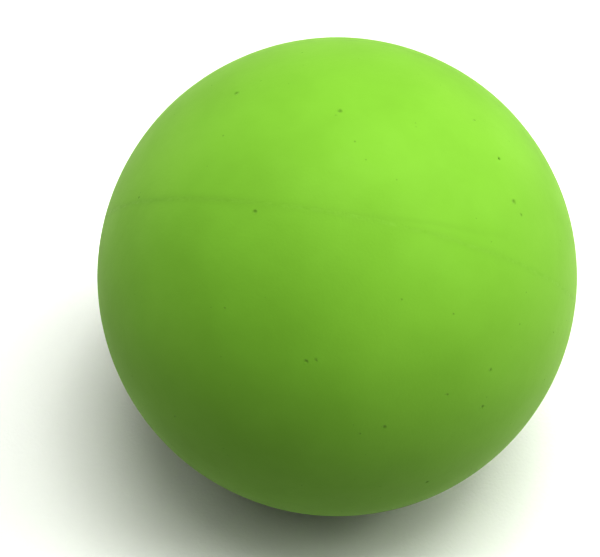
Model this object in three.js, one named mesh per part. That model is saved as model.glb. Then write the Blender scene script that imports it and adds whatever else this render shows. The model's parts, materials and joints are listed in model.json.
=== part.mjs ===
// A firm rubber massage ball: a solid core inside two moulded half shells,
// which are joined by a thin ring of cured rubber cement.
// Millimetres, +Z up as the ball lies, origin at the ball's centre.

import * as THREE from 'three';

// Driving dimensions
const BALL_RADIUS = 31.5;
const COVER_THICKNESS = 5;
const BOND_WIDTH = 0.4; // the cement's thickness, from one half shell to the other
const EDGE_CHAMFER = 0.3; // along the outer rim of each half shell
const FIT_GAP = 0.3; // between each piece and the next

// How the ball lies: the mould's axis leans this far from upright,
// towards a bearing measured from +X to +Y.
const MOULD_AXIS_TILT_DEG = 60;
const MOULD_AXIS_BEARING_DEG = 78;

// Facets
const SEGMENTS_ROUND = 60;
const OUTER_ARC_STEPS = 20;
const INNER_ARC_STEPS = 14;
const CORE_RINGS = 28;

// Sizes that follow from them
const COVER_INNER_RADIUS = BALL_RADIUS - COVER_THICKNESS;
const CORE_RADIUS = COVER_INNER_RADIUS - FIT_GAP;
const RIM_HEIGHT = BOND_WIDTH / 2 + FIT_GAP; // of a half shell's rim above the seam plane

const coverMaterial = new THREE.MeshStandardMaterial({
  name: 'lime_rubber',
  color: 0x8cd632,
  roughness: 0.6,
  metalness: 0,
});

const bondMaterial = new THREE.MeshStandardMaterial({
  name: 'rubber_cement',
  color: 0x5f9c2c,
  roughness: 0.7,
  metalness: 0,
});

const coreMaterial = new THREE.MeshStandardMaterial({
  name: 'core_rubber',
  color: 0x3f443c,
  roughness: 0.8,
  metalness: 0,
});

// Points on a circle about the origin, from one height above the seam plane to another.
function arc(radius, fromHeight, toHeight, steps) {
  const from = Math.asin(fromHeight / radius);
  const to = Math.asin(toHeight / radius);
  const points = [];
  for (let i = 0; i <= steps; i += 1) {
    const angle = from + ((to - from) * i) / steps;
    points.push(new THREE.Vector2(radius * Math.cos(angle), radius * Math.sin(angle)));
  }
  return points;
}

// The radius, at a given height above the seam plane, of a sphere about the origin.
function radiusAt(sphereRadius, height) {
  return Math.sqrt(sphereRadius ** 2 - height ** 2);
}

// The section of a half shell: inner face from the pole to the rim, the rim's flat
// face, its outer chamfer, and the outer face back to the pole.
function halfShellGeometry() {
  const inner = arc(COVER_INNER_RADIUS, COVER_INNER_RADIUS, RIM_HEIGHT, INNER_ARC_STEPS);
  const outer = arc(BALL_RADIUS, RIM_HEIGHT + EDGE_CHAMFER, BALL_RADIUS, OUTER_ARC_STEPS);
  const chamferFoot = new THREE.Vector2(
    radiusAt(BALL_RADIUS, RIM_HEIGHT) - EDGE_CHAMFER,
    RIM_HEIGHT,
  );
  inner[0].x = 0;
  outer[outer.length - 1].x = 0;
  return new THREE.LatheGeometry([...inner, chamferFoot, ...outer], SEGMENTS_ROUND);
}

// The flat ring that fills the joint, as deep as the cover and flush with its outside.
function bondRingGeometry() {
  const half = BOND_WIDTH / 2;
  const outerRadius = radiusAt(BALL_RADIUS, half);
  const section = [
    new THREE.Vector2(COVER_INNER_RADIUS, -half),
    new THREE.Vector2(outerRadius, -half),
    new THREE.Vector2(BALL_RADIUS, 0),
    new THREE.Vector2(outerRadius, half),
    new THREE.Vector2(COVER_INNER_RADIUS, half),
    new THREE.Vector2(COVER_INNER_RADIUS, -half),
  ];
  return new THREE.LatheGeometry(section, SEGMENTS_ROUND);
}

function coverUpper() {
  const mesh = new THREE.Mesh(halfShellGeometry(), coverMaterial.clone());
  mesh.name = 'cover_upper';
  return mesh;
}

function coverLower() {
  const mesh = new THREE.Mesh(halfShellGeometry(), coverMaterial.clone());
  mesh.name = 'cover_lower';
  mesh.rotation.x = Math.PI;
  return mesh;
}

function seamBond() {
  const mesh = new THREE.Mesh(bondRingGeometry(), bondMaterial);
  mesh.name = 'seam_bond';
  return mesh;
}

function core() {
  const geometry = new THREE.SphereGeometry(CORE_RADIUS, SEGMENTS_ROUND, CORE_RINGS);
  const mesh = new THREE.Mesh(geometry, coreMaterial);
  mesh.name = 'core';
  return mesh;
}

// The pieces are made about the mould's axis, +Y, which is then leaned over.
function leanMouldAxis(group) {
  const tilt = THREE.MathUtils.degToRad(MOULD_AXIS_TILT_DEG);
  const bearing = THREE.MathUtils.degToRad(MOULD_AXIS_BEARING_DEG);
  const axis = new THREE.Vector3(
    Math.sin(tilt) * Math.cos(bearing),
    Math.sin(tilt) * Math.sin(bearing),
    Math.cos(tilt),
  );
  group.quaternion.setFromUnitVectors(new THREE.Vector3(0, 1, 0), axis);
}

const ball = new THREE.Group();
ball.add(core(), coverUpper(), coverLower(), seamBond());
leanMouldAxis(ball);

export default ball;
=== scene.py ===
"""A firm lime-green rubber massage ball, lying on a plain pale floor."""

import json
import math
import random

import bmesh
import bpy
import numpy as np
from mathutils import Matrix, Vector, kdtree, noise


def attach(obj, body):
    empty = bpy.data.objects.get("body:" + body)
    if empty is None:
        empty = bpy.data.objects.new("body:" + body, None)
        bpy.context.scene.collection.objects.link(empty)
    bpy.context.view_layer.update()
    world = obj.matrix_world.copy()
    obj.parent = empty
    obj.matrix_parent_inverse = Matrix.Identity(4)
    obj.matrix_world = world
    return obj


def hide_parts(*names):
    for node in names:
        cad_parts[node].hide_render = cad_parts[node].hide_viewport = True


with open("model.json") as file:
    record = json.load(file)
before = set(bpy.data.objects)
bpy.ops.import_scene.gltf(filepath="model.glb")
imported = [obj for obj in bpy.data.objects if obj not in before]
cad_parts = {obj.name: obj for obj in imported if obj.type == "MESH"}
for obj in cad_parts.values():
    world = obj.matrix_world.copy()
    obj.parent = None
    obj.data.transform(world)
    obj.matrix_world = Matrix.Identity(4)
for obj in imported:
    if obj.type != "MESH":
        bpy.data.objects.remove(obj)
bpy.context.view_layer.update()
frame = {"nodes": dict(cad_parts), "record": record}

MM = 0.001

# ---------------------------------------------------------------- sizes from the frame, in mm

resting_point = frame["record"]["mounts"][0]["pos_m"]
BALL_RADIUS = -resting_point[2] / MM


def node_points(name):
    """The corners of a CAD node, in mm."""
    return np.array([v.co for v in frame["nodes"][name].data.vertices]) / MM


bond_points = node_points("seam_bond")
COVER_INNER_RADIUS = np.linalg.norm(bond_points, axis=1).min()
CORE_RADIUS = np.linalg.norm(node_points("core"), axis=1).max()


def mould_frame():
    """Turns points about the mould's axis, +Z, to the way that the ball lies."""
    axis = np.linalg.svd(bond_points, full_matrices=False)[2][2]
    axis *= np.sign(axis[2])
    level = np.cross(axis, (0, 0, 1))
    level /= np.linalg.norm(level)
    return Matrix(np.column_stack([level, np.cross(axis, level), axis]))


MOULD = mould_frame()

# ---------------------------------------------------------------- driving sizes, in mm

BOND_WIDTH = 0.4  # of the cement between the half shells
BOND_SUNK = 0.001  # how far the cement lies under the ball's surface
BOND_CLEAR = 0.0005  # between the cement and each half shell
BOND_INSIDE = 0.2  # from the cover's inner face to the cement's inner edge
LIP_RADIUS = 0.004  # along each half shell's outer rim

WAVES = 0.03  # how far the moulded surface is out of round
WAVES_REACH = 3.0  # the depth at which they have faded to about a third
RIDGE_HEIGHT = 0.004  # of the trimmed flash along the seam
RIDGE_WIDTH = 0.55  # to each side
WANDER = 0.22  # how far the seam strays from its plane
WANDER_REACH = 4.0  # how far from the seam the skin strays with it

CORE_RIDGE = 0.12  # where the core's own mould closed
CORE_RIDGE_WIDTH = 0.45
CORE_GRAIN = 0.02

# How fine the noise is over a ball of radius 1. A pattern of three numbers has broad
# noise, fine noise and the fine noise's share.
WAVES_PATTERN = (2.3, 6.1, 0.45)
WANDER_PATTERN = (3.0, 11.0, 0.5)
WANDER_PLACE = Vector((0, 0, 7.7))  # in the noise, away from the waves
CORE_PATTERN = 9
SEAM_PATTERN = 3.1

# How clearly the seam shows, up to 1. It is faintest at this turn round the mould's axis,
# and clearest on the other side.
SEAM_FAINTEST_AT = math.radians(-25)
SEAM_FAINTEST = 0.25
SEAM_SWING = 0.95  # how much clearer it is on the other side
SEAM_PATCHES = 0.3  # how far it varies from place to place
SEAM_LEAST = 0.12

# A fainter line leaves the seam for part of its length: where it starts and ends, in
# degrees round the mould's axis, and how far it has strayed at its end.
SECOND_LINE = (-87, -44)
SECOND_LINE_OFFSET = 2.6
SECOND_LINE_CURVE = 1.25  # the higher, the later it strays
SECOND_LINE_WIDTH = 0.28
SECOND_LINE_FADE = 0.6  # the lower, the shorter its faint ends
SECOND_LINE_SHARE = 0.5  # of the seam's own strength

# ---------------------------------------------------------------- the meshes' detail, in mm

SKIN_STEP = 0.72  # between the outer skin's rings, away from the seam
SEAM_STEP = 0.5  # along the rim
RIM_STEP = 0.5  # from a half shell's outer rim inwards
BOND_STEP = 0.6  # from the cement's outer face inwards
INNER_STEP = 2.4  # between the rings inside a half shell
CORE_FIRST_RING = 0.15  # from the core's widest circle
CORE_STEPS = (0.2, 1.1)  # at the core's own ridge, and away from it
STEP_GROWTH = 1.3  # from one step to the next
POLE_CLEAR = 0.6  # of a step, between the last ring and the pole
SKIN_TOLERANCE = 0.0035  # the outer skin's points are this near the ball's radius
SHARP_ANGLE = math.radians(40)

# ---------------------------------------------------------------- pinholes, sizes in mm

# The ones that stand out: bearing from +X and height above the horizon in degrees,
# and diameter in mm.
STANDING_OUT = [
    (173, 69, 0.58), (-83, 82, 0.50), (-119, 57, 0.48), (-16, 53, 0.42), (-26, 46, 0.58),
    (-96.4, 31, 0.48), (-80, 16, 0.52), (-58, 13, 0.50), (-55, 21, 0.40), (-134, 74, 0.26),
    (-76, 74, 0.22), (-27, 43, 0.36), (-66, 20, 0.28), (-61, 36, 0.22), (-70, -6, 0.52),
    (-157, 65, 0.24), (-85, 15, 0.26), (-4, 60, 0.28), (-163, 41.5, 0.32),
]
SEED = 63
SCATTERED = 240
SCATTER_DIAMETERS = (0.12, 0.24)
SCATTER_POWER = 3  # the higher, the fewer are large
KEEP_OFF_SEAM = 0.45  # no pinhole's middle is nearer
PINHOLE_DEPTH = 0.13  # of its diameter
BOWL_POWER = 1.5  # the higher, the softer the pinhole's edge
# How far the pinholes' dirt and painted shade reach past their middles.
PIT_DIRT_AND_SHADE_REACH = 1.4  # in pinhole radii
RAGGED = 0.25  # how far a pinhole is from round, of its radius
RAGGED_PATTERN = 2.5  # features across a pinhole
RAGGED_APART = 50  # in the noise, from one pinhole's place to another's
REFINE_REACHES = (4.6, 3.4, 2.5, 1.9, 1.5)  # in pinhole radii, one for each round
EDGES_ACROSS = 9  # of a pinhole, at the end of refining


def direction(bearing, height):
    """The unit vector at a bearing and a height above the horizon, in degrees."""
    b, h = math.radians(bearing), math.radians(height)
    return Vector((math.cos(h) * math.cos(b), math.cos(h) * math.sin(b), math.sin(h)))


def scattered_pinholes():
    """More pinholes, mostly small, at random all over the ball."""
    rng = random.Random(SEED)
    low, high = SCATTER_DIAMETERS
    found = []
    for _ in range(SCATTERED):
        z = rng.uniform(-1, 1)
        bearing = rng.uniform(0, 2 * math.pi)
        flat = math.sqrt(1 - z * z)
        toward = Vector((flat * math.cos(bearing), flat * math.sin(bearing), z))
        found.append((toward, low + (high - low) * rng.random() ** SCATTER_POWER))
    return found


def all_pinholes():
    """Every pinhole as (unit vector about the mould's axis, diameter), clear of the seam."""
    found = [(direction(b, h), size) for b, h, size in STANDING_OUT] + scattered_pinholes()
    turned = [(MOULD.transposed() @ toward, size) for toward, size in found]
    return [p for p in turned if abs(p[0].z) * BALL_RADIUS > KEEP_OFF_SEAM]


PINHOLES = all_pinholes()

# ---------------------------------------------------------------- rings to a closed skin


def ring(radius, height, count, turn):
    """Points round the mould's axis, as a count x 3 array."""
    a = turn + np.arange(count) * 2 * math.pi / count
    return np.column_stack([radius * np.cos(a), radius * np.sin(a), np.full(count, height)])


def zip_rings(start_a, count_a, turn_a, start_b, count_b, turn_b):
    """Triangles between two rings of vertices whose counts may differ."""
    faces = []
    i = j = 0
    while i < count_a or j < count_b:
        next_a = turn_a + (i + 1) * 2 * math.pi / count_a
        next_b = turn_b + (j + 1) * 2 * math.pi / count_b
        a, b = start_a + i % count_a, start_b + j % count_b
        if j >= count_b or (i < count_a and next_a <= next_b):
            faces.append((a, start_a + (i + 1) % count_a, b))
            i += 1
        else:
            faces.append((a, start_b + (j + 1) % count_b, b))
            j += 1
    return faces


def skin_of_rings(rings, closed):
    """Points and triangles of a skin through rings of (radius, height, count).

    A closed skin joins its last ring to its first; otherwise a pole caps each end."""
    points, faces, placed = [], [], []
    for k, (radius, height, count) in enumerate(rings):
        turn = (k % 2) * math.pi / count
        placed.append((sum(len(p) for p in points), count, turn))
        points.append(ring(radius, height, count, turn))
    for lower, upper in zip(placed, placed[1:]):
        faces += zip_rings(*lower, *upper)
    if closed:
        faces += zip_rings(*placed[-1], *placed[0])
        return np.vstack(points), faces
    for k, (start, count, _) in ((0, placed[0]), (-1, placed[-1])):
        tip = sum(len(p) for p in points)
        radius, height, _ = rings[k]
        points.append(np.array([[0, 0, math.copysign(math.hypot(radius, height), height)]]))
        faces += [(start + i, start + (i + 1) % count, tip) for i in range(count)]
    return np.vstack(points), faces


def sphere_rings(radius, from_arc, first_step, step):
    """Rings on a sphere from an arc above the seam's plane up to near its pole."""
    rings = []
    arc, reach = from_arc, first_step
    while arc < radius * math.pi / 2 - step * POLE_CLEAR:
        angle = arc / radius
        flat = radius * math.cos(angle)
        along = max(SEAM_STEP, reach)
        count = max(6, round(2 * math.pi * flat / along))
        rings.append((flat, radius * math.sin(angle), count))
        arc += reach
        reach = min(step, reach * STEP_GROWTH)
    return rings


# ---------------------------------------------------------------- the seam's marks


def round_axis(point):
    """The turn round the mould's axis, from -pi to pi, and a unit vector that way."""
    turn = math.atan2(point[1], point[0])
    return turn, Vector((math.cos(turn), math.sin(turn), 0.0))


def seam_strength(point):
    """How clearly the trimmed flash shows, round the ball."""
    turn, outward = round_axis(point)
    swing = 0.5 - 0.5 * math.cos(turn - SEAM_FAINTEST_AT)
    patchy = noise.noise(outward * SEAM_PATTERN)
    strength = SEAM_FAINTEST + SEAM_SWING * swing + SEAM_PATCHES * patchy
    return min(1.0, max(SEAM_LEAST, strength))


def second_line(point, arc):
    """How clearly the fainter line shows that leaves the seam for part of its length."""
    turn, _ = round_axis(point)
    start, end = (math.radians(a) for a in SECOND_LINE)
    if not start < turn < end:
        return 0.0
    share = (turn - start) / (end - start)
    offset = SECOND_LINE_OFFSET * share ** SECOND_LINE_CURVE
    fade = math.sin(share * math.pi) ** SECOND_LINE_FADE
    return fade * math.exp(-(((arc - offset) / SECOND_LINE_WIDTH) ** 2))


def seam_marks(point):
    """How strongly the seam, then the second line, show at a point."""
    arc = BALL_RADIUS * math.asin(max(-1.0, min(1.0, point.z / point.length)))
    near = seam_strength(point) * math.exp(-((arc / RIDGE_WIDTH) ** 2))
    return near, second_line(point, arc)


# ---------------------------------------------------------------- from mesh to finished piece


def mesh_of(points, faces):
    """A bmesh from points and triangles."""
    mesh = bmesh.new()
    for point in points:
        mesh.verts.new(point)
    mesh.verts.ensure_lookup_table()
    for corners in faces:
        mesh.faces.new([mesh.verts[i] for i in corners])
    return mesh


def two_noises(place, broad, fine, fine_share):
    """Broad and fine noise together."""
    return noise.noise(place * broad) + fine_share * noise.noise(place * fine)


def moulded(point):
    """A point moved as the real moulding departs from a true ball.

    The outside is out of round in shallow waves, and the trimmed flash stands a little
    proud; both fade with depth. The seam strays from its plane, at every depth alike."""
    unit = point.normalized()
    waves = two_noises(unit, *WAVES_PATTERN)
    near, other = seam_marks(point)
    rise = WAVES * waves + RIDGE_HEIGHT * (near + SECOND_LINE_SHARE * other)
    rise *= math.exp((point.length - BALL_RADIUS) / WAVES_REACH)
    wander = two_noises(round_axis(point)[1] + WANDER_PLACE, *WANDER_PATTERN)
    wander *= math.exp(-((point.z / WANDER_REACH) ** 2))
    return point + unit * rise + Vector((0, 0, WANDER * wander))


def finished(name, mesh):
    """Turns a bmesh in mm about the mould's axis into an object in metres, in place."""
    for vert in mesh.verts:
        vert.co = MOULD @ moulded(vert.co) * MM
    bmesh.ops.recalc_face_normals(mesh, faces=mesh.faces)
    data = bpy.data.meshes.new(name)
    mesh.to_mesh(data)
    mesh.free()
    data.shade_smooth()
    data.set_sharp_from_angle(angle=SHARP_ANGLE)
    piece = bpy.data.objects.new(name, data)
    bpy.context.scene.collection.objects.link(piece)
    return piece


# ---------------------------------------------------------------- the half shells


def pinhole_tree():
    """The pinholes' middles on the ball's surface, for finding the nearest one."""
    tree = kdtree.KDTree(len(PINHOLES))
    for i, (toward, _) in enumerate(PINHOLES):
        tree.insert(toward * BALL_RADIUS, i)
    tree.balance()
    return tree


def remove_fins(mesh):
    """Removes pairs of faces on the same three corners, which turned edges can leave."""
    on_corners = {}
    for face in mesh.faces:
        on_corners.setdefault(frozenset(face.verts), []).append(face)
    fins = [f for pair in on_corners.values() if len(pair) > 1 for f in pair]
    bmesh.ops.delete(mesh, geom=fins, context="FACES")


def too_coarse(edge, reach, tree):
    """Whether an edge of the outer skin is near a pinhole, and too long for it."""
    middle = (edge.verts[0].co + edge.verts[1].co) / 2
    if middle.length < BALL_RADIUS - SKIN_TOLERANCE:
        return False
    _, which, distance = tree.find(middle.normalized() * BALL_RADIUS)
    diameter = PINHOLES[which][1]
    length = edge.calc_length()
    near = distance < reach * diameter / 2 + length * 0.5
    return near and length > diameter / EDGES_ACROSS


def refine_near_pinholes(mesh, tree):
    """Splits the edges of the outer skin round each pinhole, finer towards its middle."""
    for reach in REFINE_REACHES:
        split = [e for e in mesh.edges if too_coarse(e, reach, tree)]
        bmesh.ops.subdivide_edges(mesh, edges=split, cuts=1, use_grid_fill=True)
        wide = [f for f in mesh.faces if len(f.verts) > 3]
        made = bmesh.ops.triangulate(mesh, faces=wide)["faces"]
        edges = list(dict.fromkeys(e for f in made for e in f.edges))
        bmesh.ops.beautify_fill(mesh, faces=made, edges=edges, method="ANGLE")
        remove_fins(mesh)


def pinhole_at(point, tree):
    """(depth, share of dirt and painted shade) of the pinhole at a point of the skin, or
    zeros.
    """
    middle, which, distance = tree.find(point)
    toward, diameter = PINHOLES[which]
    place = (point - middle) * RAGGED_PATTERN / diameter + toward * RAGGED_APART
    ragged = 1 + RAGGED * noise.noise(place)
    r = ragged * distance / (diameter / 2)
    bowl = max(0.0, 1 - r * r) ** BOWL_POWER * PINHOLE_DEPTH * diameter
    # The pit's darkening is painted into the colour: real dirt together with the painted
    # shade of the hollow, reaching a little past its rim.
    pit_dirt_and_shade = min(1.0, max(0.0, PIT_DIRT_AND_SHADE_REACH - r))
    return bowl, pit_dirt_and_shade


def mark_outside(mesh, tree):
    """Sinks the pinholes into the outer skin and records where it is marked."""
    pit_dirt_and_shade = mesh.verts.layers.float.new("pit_dirt_and_shade")
    seam = mesh.verts.layers.float.new("seam")
    for vert in mesh.verts:
        if vert.co.length < BALL_RADIUS - SKIN_TOLERANCE:
            continue
        on_ball = vert.co.normalized() * BALL_RADIUS
        near, other = seam_marks(on_ball)
        # Each pinhole's share of dirt and painted shade is kept on the skin for the colour.
        bowl, dirt = pinhole_at(on_ball, tree)
        vert[pit_dirt_and_shade] = dirt
        vert[seam] = min(1.0, near + SECOND_LINE_SHARE * other)
        vert.co = on_ball * (1 - bowl / BALL_RADIUS)


def half_shell(name, side):
    """One half of the cover, above (side 1) or below (side -1) the seam."""
    rim = BOND_WIDTH / 2 + BOND_CLEAR
    outer = sphere_rings(BALL_RADIUS, rim + LIP_RADIUS, LIP_RADIUS, SKIN_STEP)
    inner = sphere_rings(COVER_INNER_RADIUS, rim, INNER_STEP, INNER_STEP)
    rim_count = outer[0][2]
    lip_drop = LIP_RADIUS * (1 - math.sqrt(0.5))
    lip = (BALL_RADIUS - lip_drop, rim + lip_drop, rim_count)
    face = [
        (BALL_RADIUS - LIP_RADIUS, rim, rim_count),
        (BALL_RADIUS - RIM_STEP, rim, rim_count),
        ((BALL_RADIUS + COVER_INNER_RADIUS) / 2, rim, rim_count // 3),
    ]
    points, faces = skin_of_rings([*outer[::-1], lip, *face, *inner], closed=False)
    points[:, 2] *= side
    mesh = mesh_of(points, faces)
    tree = pinhole_tree()
    refine_near_pinholes(mesh, tree)
    mark_outside(mesh, tree)
    return finished(name, mesh)


# ---------------------------------------------------------------- the cement and the core


def cement_ring(name):
    """The cured cement between the half shells: a thin ring, trimmed level with them."""
    count = round(2 * math.pi * BALL_RADIUS / SEAM_STEP)
    half = BOND_WIDTH / 2
    top = BALL_RADIUS - BOND_SUNK
    deep = COVER_INNER_RADIUS + BOND_INSIDE
    side = top - BOND_STEP
    heights = [half * k for k in (-1, -0.5, 0, 0.5, 1)]
    outside = [(math.sqrt(top ** 2 - h ** 2), h) for h in heights]
    section = [(deep, -half), (side, -half), *outside, (side, half), (deep, half)]
    points, faces = skin_of_rings([(r, h, count) for r, h in section], closed=True)
    mesh = mesh_of(points, faces)
    seam = mesh.verts.layers.float.new("seam")
    for vert in mesh.verts:
        vert[seam] = seam_marks(vert.co)[0]
    return finished(name, mesh)


def core_ball(name):
    """The firm core: a moulded ball with a low ridge where its own mould closed."""
    top = sphere_rings(CORE_RADIUS, CORE_FIRST_RING, *CORE_STEPS)
    below = [(r, -h, n) for r, h, n in top]
    mesh = mesh_of(*skin_of_rings([*top[::-1], *below], closed=False))
    for vert in mesh.verts:
        unit = vert.co.normalized()
        ridge = CORE_RIDGE * math.exp(-((vert.co.z / CORE_RIDGE_WIDTH) ** 2))
        grain = CORE_GRAIN * noise.noise(unit * CORE_PATTERN)
        vert.co = unit * (CORE_RADIUS - CORE_RIDGE + ridge + grain)
    return finished(name, mesh)


# ---------------------------------------------------------------- materials


class Nodes:
    """A material's node tree, with short ways to add to it."""

    def __init__(self, name):
        self.material = bpy.data.materials.new(name)
        self.material.use_nodes = True
        self.tree = self.material.node_tree
        self.shader = self.tree.nodes["Principled BSDF"]
        self.place = self.add("ShaderNodeTexCoord").outputs["Object"]

    def add(self, kind, **settings):
        node = self.tree.nodes.new(kind)
        for key, value in settings.items():
            setattr(node, key, value)
        return node

    def link(self, output, socket):
        self.tree.links.new(output, socket)

    def noise(self, size_mm, detail=2.0):
        """Noise whose features are about size_mm across."""
        node = self.add("ShaderNodeTexNoise")
        node.inputs["Scale"].default_value = 1 / (size_mm * MM)
        node.inputs["Detail"].default_value = detail
        self.link(self.place, node.inputs["Vector"])
        return node.outputs["Fac"]

    def spread(self, value, low, high, over=(0.0, 1.0)):
        """Maps a value from the range over to the one from low to high, clamped."""
        node = self.add("ShaderNodeMapRange")
        node.inputs["From Min"].default_value = over[0]
        node.inputs["From Max"].default_value = over[1]
        node.inputs["To Min"].default_value = low
        node.inputs["To Max"].default_value = high
        self.link(value, node.inputs["Value"])
        return node.outputs["Result"]

    def mark(self, name):
        """A float recorded on the mesh's points."""
        return self.add("ShaderNodeAttribute", attribute_name=name).outputs["Fac"]

    def times(self, value, factor):
        node = self.add("ShaderNodeMath", operation="MULTIPLY")
        self.link(value, node.inputs[0])
        node.inputs[1].default_value = factor
        return node.outputs["Value"]

    def mix(self, amount, first, second):
        """Two colours mixed; each is a colour or another node's output."""
        node = self.add("ShaderNodeMix", data_type="RGBA")
        sockets = [s for s in node.inputs if s.type == "RGBA"]
        self.link(amount, node.inputs["Factor"])
        for socket, colour in zip(sockets, (first, second)):
            if isinstance(colour, bpy.types.NodeSocket):
                self.link(colour, socket)
            else:
                socket.default_value = (*colour, 1.0)
        return next(s for s in node.outputs if s.type == "RGBA")

    def bump(self, height, depth_mm, below=None):
        """A bump of that depth, on top of another."""
        node = self.add("ShaderNodeBump")
        node.inputs["Distance"].default_value = depth_mm * MM
        self.link(height, node.inputs["Height"])
        if below:
            self.link(below, node.inputs["Normal"])
        return node.outputs["Normal"]

    def finish(self, colour, roughness, normal):
        self.link(colour, self.shader.inputs["Base Color"])
        self.link(roughness, self.shader.inputs["Roughness"])
        self.link(normal, self.shader.inputs["Normal"])
        return self.material


LIME = (0.214, 0.358, 0.067)
LIME_DEEP = (0.205, 0.344, 0.062)
LIME_PALE = (0.230, 0.373, 0.075)
# Dirt and painted shade in the pinholes: a darker lime that paints in the shade of the
# hollows along with real dirt.
PIT_DIRT_AND_SHADE = (0.062, 0.130, 0.014)
SEAM_GREEN = (0.200, 0.336, 0.061)
CEMENT_DARK = (0.195, 0.328, 0.059)
CEMENT_CLEAN = (0.211, 0.353, 0.066)
CORE_GREY = (0.045, 0.050, 0.042)
CORE_CRUMB = (0.085, 0.100, 0.070)
PIT_DIRT_AND_SHADE_SHARE = 0.26  # how far a pinhole's colour goes to the dark green of its dirt and painted shade


def satin_bloom(shader):
    """The dusty bloom on the ball's outside, which pales it towards its outline."""
    shader.inputs["Specular IOR Level"].default_value = 0.4
    shader.inputs["Sheen Weight"].default_value = 0.14
    shader.inputs["Sheen Roughness"].default_value = 0.5


def lime_rubber():
    """Moulded lime rubber: faint mottling, dusty bloom, fine grain, dirt and painted shade in
    pinholes.
    """
    n = Nodes("lime_rubber")
    mottled = n.spread(n.noise(size_mm=9, detail=3), 0, 1, over=(0.35, 0.65))
    colour = n.mix(mottled, LIME_DEEP, LIME)
    bloom = n.spread(n.noise(size_mm=22, detail=2), 0, 0.5, over=(0.5, 0.7))
    colour = n.mix(bloom, colour, LIME_PALE)
    colour = n.mix(n.mark("seam"), colour, SEAM_GREEN)
    # Painted shade: the pinholes are darkened in the colour, for real dirt and for the shade
    # of the hollows.
    colour = n.mix(n.times(n.mark("pit_dirt_and_shade"), PIT_DIRT_AND_SHADE_SHARE), colour, PIT_DIRT_AND_SHADE)
    roughness = n.spread(n.noise(size_mm=5, detail=4), 0.68, 0.78, over=(0.3, 0.7))
    grain = n.bump(n.noise(size_mm=0.28, detail=2), depth_mm=0.007)
    normal = n.bump(n.noise(size_mm=1.9, detail=2), depth_mm=0.020, below=grain)
    satin_bloom(n.shader)
    return n.finish(colour, roughness, normal)


def seam_cement():
    """Cured rubber cement, darker and dirtier where the seam shows clearly."""
    n = Nodes("seam_cement")
    dirt = n.spread(n.noise(size_mm=1.6, detail=3), 0, 1, over=(0.3, 0.7))
    dark = n.mix(dirt, SEAM_GREEN, CEMENT_DARK)
    colour = n.mix(n.mark("seam"), CEMENT_CLEAN, dark)
    roughness = n.spread(n.noise(size_mm=0.8), 0.6, 0.8, over=(0.3, 0.7))
    satin_bloom(n.shader)
    return n.finish(colour, roughness, n.bump(n.noise(size_mm=0.3), depth_mm=0.02))


def core_rubber():
    """Dark moulded rubber made from regrind, with paler crumbs in it."""
    n = Nodes("core_rubber")
    crumbs = n.spread(n.noise(size_mm=1.2, detail=3), 0, 1, over=(0.58, 0.66))
    colour = n.mix(crumbs, CORE_GREY, CORE_CRUMB)
    roughness = n.spread(n.noise(size_mm=2.5, detail=3), 0.7, 0.88, over=(0.3, 0.7))
    normal = n.bump(n.noise(size_mm=0.7, detail=3), depth_mm=0.05)
    return n.finish(colour, roughness, normal)


# ---------------------------------------------------------------- the pieces on their body


def place(piece, node, slot, material):
    """A piece stands for a CAD node, and rides on the ball's one body."""
    piece.data.materials.append(material)
    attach(piece, "root")
    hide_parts(node)


lime = lime_rubber()
place(half_shell("upper_half_shell", 1), "cover_upper", "cover_rubber", lime)
place(half_shell("lower_half_shell", -1), "cover_lower", "cover_rubber", lime)
place(cement_ring("cement_ring"), "seam_bond", "seam_cement", seam_cement())
place(core_ball("core_ball"), "core", "core_rubber", core_rubber())

# ---------------------------------------------------------------- floor, light and camera

FLOOR_RADIUS = 0.45  # metres
FLOOR_CORNERS = 128
FLOOR_WHITE = (0.60, 0.605, 0.59)
FLOOR_SHADE = tuple(c * 0.985 for c in FLOOR_WHITE)
DISPLAY_GAMMA = 0.5  # the photograph's strong contrast


def floor():
    """A plain pale round table top that the ball lies on."""
    mesh = bmesh.new()
    bmesh.ops.create_circle(mesh, cap_ends=True, segments=FLOOR_CORNERS, radius=FLOOR_RADIUS)
    data = bpy.data.meshes.new("floor")
    mesh.to_mesh(data)
    mesh.free()
    piece = bpy.data.objects.new("floor", data)
    piece.location.z = resting_point[2]
    bpy.context.scene.collection.objects.link(piece)
    n = Nodes("pale_floor")
    tone = n.mix(n.noise(size_mm=30), FLOOR_WHITE, FLOOR_SHADE)
    roughness = n.spread(n.noise(size_mm=2), 0.85, 0.95)
    normal = n.bump(n.noise(size_mm=0.5), depth_mm=0.02)
    data.materials.append(n.finish(tone, roughness, normal))


WALL_LIGHT = 0.85
CEILING_LIGHT = 0.05
WALL_FADE = (0.10, 0.55)  # sines of the heights where the walls start and end fading

LIGHT_DISTANCE = 0.6  # metres
LIGHT_SIZE = 0.36

# Soft lights round the ball: bearing, height above the horizon, and power in watts.
LIGHTS = {
    "overhead": (0, 85, 3.15),
    "right_high": (0, 60, 2.0),
    "right": (0, 33, 1.65),
    "right_back_low": (30, 12, 0.45),
    "left_back_low": (150, 12, 1.15),
    "left_high": (180, 60, 1.4),
    "front_high": (-60, 60, 0.95),
}


def soft_light(name, bearing, height, power):
    """A soft round light, facing the ball."""
    data = bpy.data.lights.new(name, "AREA")
    data.shape = "DISK"
    data.size = LIGHT_SIZE
    data.energy = power
    light = bpy.data.objects.new(name, data)
    toward = direction(bearing, height)
    light.location = toward * LIGHT_DISTANCE
    light.rotation_euler = toward.to_track_quat("Z", "Y").to_euler()
    light.visible_camera = False
    bpy.context.scene.collection.objects.link(light)


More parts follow.
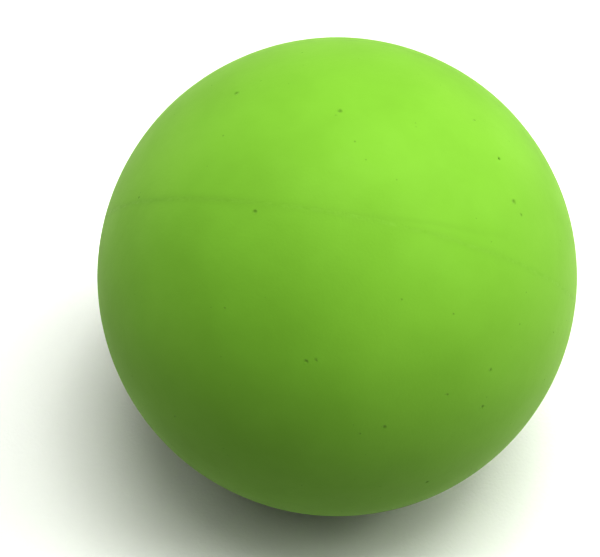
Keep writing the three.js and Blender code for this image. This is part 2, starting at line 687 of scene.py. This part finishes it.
def soft_world():
    """A plain room round the table: pale walls, and less light from above."""
    world = bpy.data.worlds.new("soft_world")
    world.use_nodes = True
    nodes, links = world.node_tree.nodes, world.node_tree.links
    place = nodes.new("ShaderNodeTexCoord")
    split = nodes.new("ShaderNodeSeparateXYZ")
    fade = nodes.new("ShaderNodeMapRange")
    fade.interpolation_type = "SMOOTHSTEP"
    fade.inputs["From Min"].default_value, fade.inputs["From Max"].default_value = WALL_FADE
    fade.inputs["To Min"].default_value = WALL_LIGHT
    fade.inputs["To Max"].default_value = CEILING_LIGHT
    nodes["Background"].inputs["Color"].default_value = (1.0, 1.0, 1.0, 1.0)
    links.new(place.outputs["Generated"], split.inputs["Vector"])
    links.new(split.outputs["Z"], fade.inputs["Value"])
    links.new(fade.outputs["Result"], nodes["Background"].inputs["Strength"])
    bpy.context.scene.world = world


SENSOR_WIDTH = 36.0
CAMERA_HEIGHT_DEG = 47.4  # above the horizon
CAMERA_DISTANCE = 4.0  # from the ball's middle, in ball radii
BALL_SHARE = 0.798  # of the picture's width that the ball takes
BALL_RIGHT = 0.0582  # of the picture's width, from the picture's middle to the ball's
BALL_UP = 0.0027  # the same, upwards
CLIP_START, CLIP_END = 0.005, 20  # metres


def camera():
    """A camera at the photograph's angle, aimed a little left of the ball's middle."""
    data = bpy.data.cameras.new("camera")
    data.sensor_width = SENSOR_WIDTH
    half_angle = math.asin(1 / CAMERA_DISTANCE)
    focal = BALL_SHARE / 2 / math.tan(half_angle)
    data.lens = focal * SENSOR_WIDTH
    data.clip_start = CLIP_START
    data.clip_end = CLIP_END
    eye = bpy.data.objects.new("camera", data)
    back = direction(-90, CAMERA_HEIGHT_DEG)
    look = back.to_track_quat("Z", "Y").to_matrix().to_4x4()
    aim_left = Matrix.Rotation(math.atan(BALL_RIGHT / focal), 4, "Y")
    aim_down = Matrix.Rotation(-math.atan(BALL_UP / focal), 4, "X")
    stand = Matrix.Translation(back * CAMERA_DISTANCE * BALL_RADIUS * MM)
    eye.matrix_world = stand @ look @ aim_left @ aim_down
    bpy.context.scene.collection.objects.link(eye)
    bpy.context.scene.camera = eye


floor()
soft_world()
for light_name, setting in LIGHTS.items():
    soft_light(light_name, *setting)
camera()
bpy.context.scene.view_settings.view_transform = "Standard"
bpy.context.scene.view_settings.gamma = DISPLAY_GAMMA
